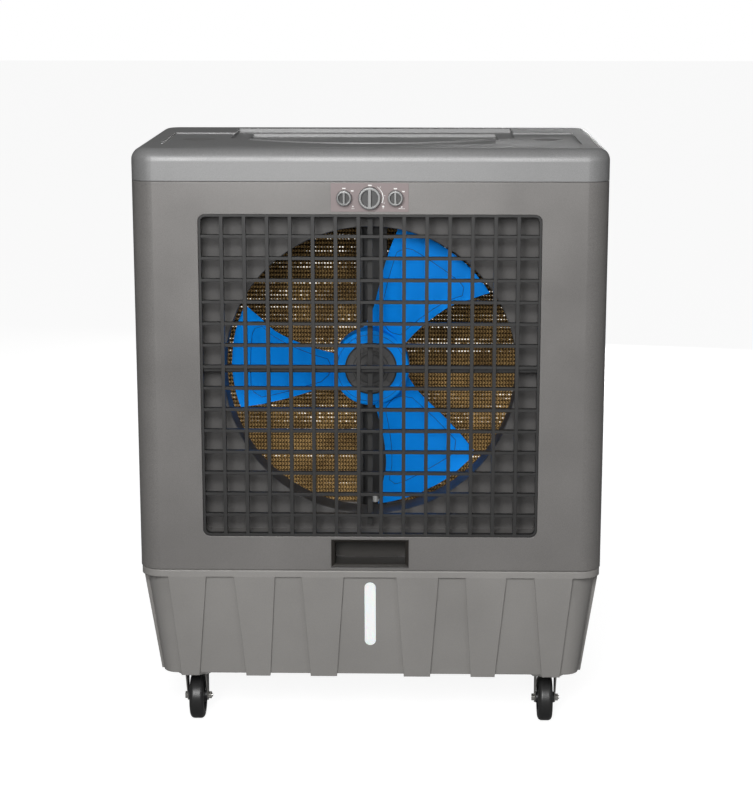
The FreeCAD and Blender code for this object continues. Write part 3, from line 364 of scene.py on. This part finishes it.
# In millimetres: how far the line runs inside a blade's edge, and how deep its middle lies
# in the skin. In metres, behind the casing's front: the hub's centre, and the hub line.
INSET, SUNK = 17, 0.1
HUB_CENTRE, HUB_LINE_BACK, HUB_LINE_RADIUS = 0.132, 0.1081, 0.071
BLADE_LINE_THICK, HUB_LINE_THICK = 0.0007, 0.0005
outline = []
for radius, _ in CONCAVE_EDGE[1:-1]:
    outline.append((radius, INSET / (2 * math.pi * radius * 48 / 360)))
outline += [(268, 0.16), (274, 0.24), (276, 0.4), (276, 0.6), (274, 0.78), (268, 0.85)]
for radius, _ in reversed(STRAIGHT_EDGE[2:-1]):
    outline.append((radius, 1 - INSET / (2 * math.pi * radius * 46 / 360)))
outline += [(104, 0.66), (96, 0.5), (95, 0.38)]
for number, angle in enumerate((56, 176, 296), 1):
    points = []
    for radius, share in outline:
        spot = blade_spot(radius, share)
        turn = math.radians(angle)
        points.append(Vector(((spot.x * math.cos(turn) - spot.z * math.sin(turn)) / 1000,
                              FRONT + HUB_CENTRE + (spot.y + SUNK) / 1000,
                              AXIS_UP + (spot.x * math.sin(turn) + spot.z * math.cos(turn)) / 1000)))
    drawn_line("blade_line_%d" % number, points, BLADE_LINE_THICK)
hub_ring = [Vector((HUB_LINE_RADIUS * math.cos(a), FRONT + HUB_LINE_BACK,
                    AXIS_UP + HUB_LINE_RADIUS * math.sin(a)))
            for a in [math.radians(7.5 * step) for step in range(48)]]
drawn_line("hub_line", hub_ring, HUB_LINE_THICK)

# ---------------------------------------------------------------------------
# Metalwork. Zinc-plated nuts, plates and forks; ground shaft; black enamel on
# the motor, its strap and the post that carries it.
# ---------------------------------------------------------------------------
zinc = moulded("zinc_plate", (0.62, 0.61, 0.58), 0.32, fleck=0.12, fleck_scale=160, grain=0.1,
               grain_scale=500, metal=0.95, cloud=0.12, edge=0.0006)
wear_finish(zinc, "fan_nut", "motor_shaft", "caster_plates", "caster_bolts",
            *[name for name in nodes if name.endswith(("_fork", "_axle"))])
enamel = moulded("black_enamel", (0.028, 0.028, 0.028), 0.35, fleck=0.08, metal=0.1, coat=0.2,
                 edge=0.001)
wear_finish(enamel, "motor_housing", "motor_end_bells", "motor_bracket", "motor_mount_post")

# ---------------------------------------------------------------------------
# Wetted pads. Corrugated cellulose sheets glued into blocks, seen on edge as
# rows of slanting flutes with painted shade between them; small painted glowing
# dots stand for daylight showing through as pinholes.
# ---------------------------------------------------------------------------
PAD_LIGHT, PAD_DARK = (0.46, 0.30, 0.12), (0.14, 0.083, 0.032)
FINE, COARSE = (0.0068, 0.0092, 0.0055), (0.0100, 0.0120, 0.0080)
LEAN = 0.45
PAD_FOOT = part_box("pad_rear")[0].z
FOOT_TONE, TONE_FALL = 1.3, 0.62
DOT_SPREAD, DOT_MOST, DOT_ROWS, DOT_GLOW, DOT_DEPTH = 0.0024, 0.0017, 0.42, 1.1, 0.02


def cellulose(name, across, pinholes=None):
    """Brown paper with mottled patches and a fibre grain, paler toward its foot, with painted
    shade in the gaps between flutes that slant both ways along the across axis and along the
    seams between rows, and painted light on the ridges. Pinholes, where given, is the west
    end of the flutes and the depth beyond which no dot shows: small painted glowing dots in
    some rows stand for the daylight that the flutes let through."""
    material, surface = shader(name)
    tree = material.node_tree
    add, link = tree.nodes.new, tree.links.new
    sum_up = sums(tree)
    spot = add("ShaderNodeTexCoord")
    axes = add("ShaderNodeSeparateXYZ")
    link(spot.outputs["Object"], axes.inputs["Vector"])
    fibre = noise(tree, spot, 420, 3)
    tones = add("ShaderNodeValToRGB")
    tones.color_ramp.elements[0].position = 0.38
    tones.color_ramp.elements[1].position = 0.62
    tones.color_ramp.elements[0].color = PAD_DARK + (1,)
    tones.color_ramp.elements[1].color = PAD_LIGHT + (1,)
    link(sum_up("MULTIPLY", sum_up("ADD", noise(tree, spot, 14, 6), fibre), 0.5), tones.inputs["Fac"])

    # Painted shade in the gaps between flutes and along the seams between rows, and painted light on
    # the ridges.
    step, rise = FINE[0], FINE[1]
    height = sum_up("SUBTRACT", axes.outputs["Z"], PAD_FOOT)
    row = sum_up("DIVIDE", height, rise)
    slant = sum_up("ABSOLUTE", sum_up("SUBTRACT", sum_up("FRACT", row), 0.5))
    wave = sum_up("FRACT", sum_up("MULTIPLY_ADD", axes.outputs[across], 1 / step,
                                  sum_up("MULTIPLY", slant, 1.1)))
    gap = sum_up("MULTIPLY", sum_up("ABSOLUTE", sum_up("SUBTRACT", wave, 0.5)), 2.0)
    seam = sum_up("MINIMUM", sum_up("MULTIPLY", sum_up("SUBTRACT", 0.5, slant), 4.5), 1.0)
    ridge = sum_up("MULTIPLY_ADD", sum_up("MULTIPLY", gap, gap), 1.25, 0.36)
    lit = sum_up("MULTIPLY", ridge, sum_up("MULTIPLY_ADD", seam, 0.85, 0.15))
    fade = sum_up("MULTIPLY_ADD", height, -TONE_FALL, FOOT_TONE)
    link(tones.outputs["Color"], surface.inputs["Base Color"])
    tinted(material, sum_up("MULTIPLY", lit, fade))
    grain = add("ShaderNodeBump")
    grain.inputs["Strength"].default_value = 0.35
    grain.inputs["Distance"].default_value = 0.0004
    link(fibre, grain.inputs["Height"])
    link(grain.outputs["Normal"], surface.inputs["Normal"])
    surface.inputs["Roughness"].default_value = 0.9
    surface.inputs["Specular IOR Level"].default_value = 0.2
    if pinholes is None:
        return material

    west, deep = pinholes
    column = sum_up("DIVIDE", sum_up("SUBTRACT", axes.outputs["X"], west + LEAN * step), step)
    offs = [sum_up("MULTIPLY", sum_up("SUBTRACT", sum_up("FRACT", place), 0.5), pitch)
            for place, pitch in ((column, step), (row, rise))]
    radius = sum_up("SQRT", sum_up("ADD", *[sum_up("MULTIPLY", off, off) for off in offs]))
    cell = add("ShaderNodeCombineXYZ")
    link(sum_up("FLOOR", column), cell.inputs["X"])
    link(sum_up("FLOOR", row), cell.inputs["Y"])
    chance = add("ShaderNodeTexWhiteNoise")
    chance.noise_dimensions = "2D"
    link(cell.outputs["Vector"], chance.inputs["Vector"])
    rank = add("ShaderNodeTexWhiteNoise")
    rank.noise_dimensions = "1D"
    link(sum_up("FLOOR", row), rank.inputs["W"])
    size = sum_up("MULTIPLY", chance.outputs["Value"], DOT_SPREAD)
    size = sum_up("MULTIPLY", size, sum_up("MULTIPLY_ADD", noise(tree, spot, 9), 2.6, -0.75))
    size = sum_up("MINIMUM", size, DOT_MOST)
    open_row = sum_up("LESS_THAN", rank.outputs["Value"], DOT_ROWS)
    inner = sum_up("LESS_THAN", axes.outputs["Y"], deep)
    dot = sum_up("MULTIPLY", sum_up("MULTIPLY", sum_up("LESS_THAN", radius, size), open_row), inner)
    # Painted glow: the dots shine by themselves; no light comes through the pad.
    surface.inputs["Emission Color"].default_value = (1, 0.98, 0.93, 1)
    link(sum_up("MULTIPLY", dot, DOT_GLOW), surface.inputs["Emission Strength"])
    return material


def pick(piece, test):
    """Into edit mode with only those vertices selected that pass the test."""
    deselect()
    piece.select_set(True)
    bpy.context.view_layer.objects.active = piece
    bpy.ops.object.mode_set(mode="EDIT")
    bpy.ops.mesh.select_mode(type="VERT")
    bpy.ops.mesh.select_all(action="DESELECT")
    bpy.ops.object.mode_set(mode="OBJECT")
    for vertex in piece.data.vertices:
        vertex.select = test(vertex.co)
    bpy.ops.object.mode_set(mode="EDIT")


def half_pad(wide, tall, thick, flute, turn, spot):
    """One face of a pad and half its thickness: a single flute, repeated across and up, then
    its rim drawn back to a flat and closed."""
    across, rows = round(wide / flute[0]), round(tall / flute[1])
    step, rise = wide / across, tall / rows
    deselect()
    bpy.ops.mesh.primitive_grid_add(x_subdivisions=2, y_subdivisions=2, size=1)
    piece = bpy.context.object
    bpy.ops.transform.resize(value=(step, rise, 1))
    bpy.ops.transform.translate(value=(step / 2, rise / 2, 0))
    bpy.ops.object.transform_apply(location=True, rotation=True, scale=True)
    pick(piece, lambda co: abs(co.x - step / 2) < 1e-5)
    bpy.ops.transform.translate(value=(0, 0, -0.45 * flute[2]))
    bpy.ops.object.mode_set(mode="OBJECT")
    pick(piece, lambda co: abs(co.y - rise / 2) < 1e-5)
    bpy.ops.transform.translate(value=(LEAN * step, 0, -0.55 * flute[2]))
    bpy.ops.object.mode_set(mode="OBJECT")
    for offset, count in (((step, 0, 0), across), ((0, rise, 0), rows)):
        rank = piece.modifiers.new("rank", "ARRAY")
        rank.use_relative_offset = False
        rank.use_constant_offset = True
        rank.constant_offset_displace = offset
        rank.count = count
        rank.use_merge_vertices = True
        rank.merge_threshold = 0.0003
        bpy.ops.object.modifier_apply(modifier=rank.name)
    bpy.ops.object.mode_set(mode="EDIT")
    bpy.ops.mesh.select_all(action="DESELECT")
    bpy.ops.mesh.select_non_manifold()
    bpy.ops.mesh.extrude_region_move(TRANSFORM_OT_translate={"value": (0, 0, -thick)})
    bpy.ops.transform.resize(value=(1, 1, 0), center_override=(0, 0, -thick))
    bpy.ops.mesh.edge_face_add()
    bpy.ops.mesh.select_all(action="SELECT")
    bpy.ops.mesh.normals_make_consistent(inside=False)
    bpy.ops.object.mode_set(mode="OBJECT")
    piece.rotation_euler = (math.radians(90), 0, turn)
    piece.location = spot
    bpy.ops.object.transform_apply(location=True, rotation=True, scale=True)
    return piece


def fluted_pad(name, node, inward, material):
    """Two half pads back to back, the finely fluted one facing into the cooler."""
    low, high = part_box(node)
    wide = (high.x - low.x) if inward == 0 else (high.y - low.y)
    wide -= LEAN * FINE[0]
    thick = ((high.y - low.y) if inward == 0 else (high.x - low.x)) / 2
    tall = high.z - low.z
    starts = {0: ((low.x, low.y, low.z), (high.x, high.y, low.z)),
              1: ((high.x, low.y, low.z), (low.x, high.y, low.z)),
              -1: ((low.x, high.y, low.z), (high.x, low.y, low.z))}[inward]
    turn = inward * math.pi / 2
    halves = [half_pad(wide, tall, thick, FINE, turn, starts[0]),
              half_pad(wide, tall, thick, COARSE, turn + math.pi, starts[1])]
    deselect()
    for half in halves:
        half.select_set(True)
    bpy.context.view_layer.objects.active = halves[0]
    bpy.ops.object.join()
    pad = bpy.context.object
    pad.name = pad.data.name = name
    pad.data.materials.clear()
    pad.data.materials.append(material)
    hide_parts(node)
    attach(pad, "cooler")


rear_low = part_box("pad_rear")[0]
fluted_pad("rear_pad_flutes", "pad_rear", 0,
           cellulose("pad_rear_cellulose", "X", (rear_low.x, rear_low.y + DOT_DEPTH)))
side_paper = cellulose("pad_side_cellulose", "Y")
fluted_pad("left_pad_flutes", "pad_left", 1, side_paper)
fluted_pad("right_pad_flutes", "pad_right", -1, side_paper)

# ---------------------------------------------------------------------------
# Louvre frames. Slatted frames clipped over the pads at the back and sides,
# moulded in the casing's colour.
# ---------------------------------------------------------------------------
wear_finish(casing, "louver_rear", "louver_left", "louver_right")

# ---------------------------------------------------------------------------
# Filling pocket. A dark open box under the grille where water is poured in.
# ---------------------------------------------------------------------------
pocket_dark = moulded("pocket_dark_brown", (0.024, 0.021, 0.018), 0.38, fleck=0.15, edge=0.0015)
wear_finish(pocket_dark, "fill_pocket")

# ---------------------------------------------------------------------------
# Controls. A tinted panel, three silvered knobs with a grip bar across a
# dish, with painted shade darkening them with depth, and printed marks: dashes,
# dots, triangles and an arc for speed.
# ---------------------------------------------------------------------------
panel_tint = moulded("panel_tinted", (0.255, 0.208, 0.206), 0.45, fleck=0.03, cloud=0.02, edge=0.0008)
wear_finish(panel_tint, "control_panel")
KNOB_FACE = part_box("knob_center")[0].y
knob_silver = moulded("knob_silver", (0.26, 0.26, 0.257), 0.34, fleck=0.06, metal=0.55, cloud=0.03,
                      edge=0.0016)
wear_finish(knob_silver, "knob_left", "knob_center", "knob_right")
knob_tree = knob_silver.node_tree
knob_spot = knob_tree.nodes.new("ShaderNodeTexCoord")
knob_axes = knob_tree.nodes.new("ShaderNodeSeparateXYZ")
knob_tree.links.new(knob_spot.outputs["Object"], knob_axes.inputs["Vector"])
# Painted shade: the knob darkens with depth behind its face, into the dish and down its sides.
knob_depth_shade = knob_tree.nodes.new("ShaderNodeMapRange")
knob_depth_shade.inputs["From Min"].default_value = KNOB_FACE + 0.0018
knob_depth_shade.inputs["From Max"].default_value = KNOB_FACE + 0.0065
knob_depth_shade.inputs["To Min"].default_value = 1.0
knob_depth_shade.inputs["To Max"].default_value = 0.3
knob_tree.links.new(knob_axes.outputs["Y"], knob_depth_shade.inputs["Value"])
tinted(knob_silver, knob_depth_shade.outputs["Result"])
wear_finish(enamel, "control_switches")
ink_white = moulded("panel_ink_white", (0.85, 0.84, 0.82), 0.5, fleck=0.02, cloud=0.01, grain=0.02)
KNOB_UP, INK, PANEL_PROUD = 1.147, 0.00025, 0.0012
panel_face = FRONT - PANEL_PROUD


def inked(name, piece):
    """A flat print facing front gets its thickness, its white ink and its body."""
    deselect()
    piece.select_set(True)
    bpy.context.view_layer.objects.active = piece
    coat = piece.modifiers.new("coat", "SOLIDIFY")
    coat.thickness = INK
    coat.offset = 1
    bpy.ops.object.modifier_apply(modifier=coat.name)
    piece.name = piece.data.name = name
    piece.data.materials.append(ink_white)
    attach(piece, "cooler")


def flat_mark(name, east, up, wide, tall, sides=4, turn=0.0):
    """A dash, dot or triangle: a disc of few or many sides, stretched to its size."""
    deselect()
    bpy.ops.mesh.primitive_circle_add(vertices=sides, radius=0.5, fill_type="NGON")
    mark = bpy.context.object
    bpy.ops.object.mode_set(mode="EDIT")
    bpy.ops.mesh.select_all(action="SELECT")
    if sides == 4:
        bpy.ops.transform.rotate(value=math.radians(45), orient_axis="Z", center_override=(0, 0, 0))
        bpy.ops.transform.resize(value=(2 ** 0.5, 2 ** 0.5, 1))
    elif turn:
        bpy.ops.transform.rotate(value=turn, orient_axis="Z", center_override=(0, 0, 0))
    bpy.ops.transform.resize(value=(wide, tall, 1), center_override=(0, 0, 0))
    if sides == 4:
        bpy.ops.mesh.bevel(offset=min(wide, tall) * 0.35, segments=3, affect="VERTICES")
    bpy.ops.object.mode_set(mode="OBJECT")
    mark.rotation_euler = (math.radians(90), 0, 0)
    mark.location = (east, panel_face, up)
    bpy.ops.object.transform_apply(location=True, rotation=True, scale=True)
    inked(name, mark)


for number, (east, up, wide, tall, sides, turn) in enumerate((
        (-0.0515, 0.0184, 0.0070, 0.0024, 4, 0), (-0.0350, 0.0134, 0.0056, 0.0024, 4, 0),
        (-0.0336, -0.0178, 0.0040, 0.0042, 3, 0), (-0.0336, -0.0222, 0.0062, 0.0007, 4, 0),
        (0.0004, 0.0246, 0.0076, 0.0024, 4, 0), (0.0212, 0.0212, 0.0018, 0.0018, 12, 0),
        (0.0304, 0.0042, 0.0018, 0.0018, 12, 0), (0.0290, -0.0108, 0.0018, 0.0018, 12, 0),
        (0.0271, -0.0178, 0.0044, 0.0044, 16, 0), (0.0271, -0.0216, 0.0026, 0.0008, 4, 0),
        (0.0515, 0.0180, 0.0070, 0.0024, 4, 0), (0.0676, 0.0124, 0.0056, 0.0024, 4, 0),
        (0.0643, -0.0186, 0.0042, 0.0036, 3, math.pi), (0.0643, -0.0220, 0.0134, 0.0007, 4, 0)), 1):
    flat_mark("panel_mark_%02d" % number, east, KNOB_UP + up, wide, tall, sides, turn)

RING_RADIUS, ARC_RADIUS, ARC_START, ARC_SWEEP = 0.0265, 0.0262, 56, 80
deselect()
bpy.ops.mesh.primitive_plane_add(size=0.001, location=(0, panel_face, KNOB_UP + RING_RADIUS),
                                 rotation=(math.radians(90), 0, 0))
speed_arc = bpy.context.object
bpy.ops.object.transform_apply(location=True, rotation=True, scale=True)
pick(speed_arc, lambda co: co.x < 0)
bpy.ops.mesh.delete(type="VERT")
bpy.ops.mesh.select_all(action="SELECT")
bpy.ops.mesh.spin(steps=28, angle=math.radians(90), center=(0, panel_face, KNOB_UP), axis=(0, 1, 0))
bpy.ops.object.mode_set(mode="OBJECT")
for vertex in speed_arc.data.vertices:
    spoke = Vector((vertex.co.x, 0, vertex.co.z - KNOB_UP))
    along = abs(math.atan2(spoke.x, spoke.z)) / (math.pi / 2)
    edge = 1 if spoke.length > RING_RADIUS else -1
    reach = ARC_RADIUS + 0.0008 * along + edge * (0.0004 + 0.0009 * along)
    angle = math.radians(ARC_START) - along * math.radians(ARC_SWEEP)
    vertex.co = Vector((reach * math.cos(angle), panel_face, KNOB_UP + reach * math.sin(angle)))
bpy.ops.object.mode_set(mode="EDIT")
bpy.ops.mesh.select_all(action="SELECT")
bpy.ops.mesh.normals_make_consistent(inside=False)
bpy.ops.object.mode_set(mode="OBJECT")
if speed_arc.data.polygons[0].normal.y > 0:
    speed_arc.data.flip_normals()
inked("speed_arc", speed_arc)

# ---------------------------------------------------------------------------
# Water circuit. Pump, strainer, float valve, hose, trough and the brass inlet.
# ---------------------------------------------------------------------------
white_plastic = moulded("white_moulding", (0.78, 0.78, 0.76), 0.35, fleck=0.02, edge=0.001)
wear_finish(white_plastic, "float_valve", "float_ball", "cable_clip", "pump_impeller")
wear_finish(dark_grey, "water_pump", "pump_strainer", "water_manifold")
hose_black = moulded("hose_rubber", (0.03, 0.03, 0.03), 0.55, fleck=0.1)
wear_finish(hose_black, "riser_hose")
brass = moulded("inlet_brass", (0.62, 0.43, 0.16), 0.3, fleck=0.06, metal=1.0, edge=0.0005)
wear_finish(brass, "hose_inlet", "float_arm")

# ---------------------------------------------------------------------------
# Casters. Black rubber tyres on black plastic wheel centres.
# ---------------------------------------------------------------------------
tyre_black = moulded("tyre_black", (0.021, 0.021, 0.021), 0.36, fleck=0.1, grain=0.05)
wheel_black = moulded("wheel_centre_black", (0.025, 0.025, 0.026), 0.4, fleck=0.08, edge=0.001)
for corner in ("front_left", "front_right", "rear_left", "rear_right"):
    wear_finish(tyre_black, "caster_%s_tyre" % corner)
    wear_finish(wheel_black, "caster_%s_wheel" % corner)
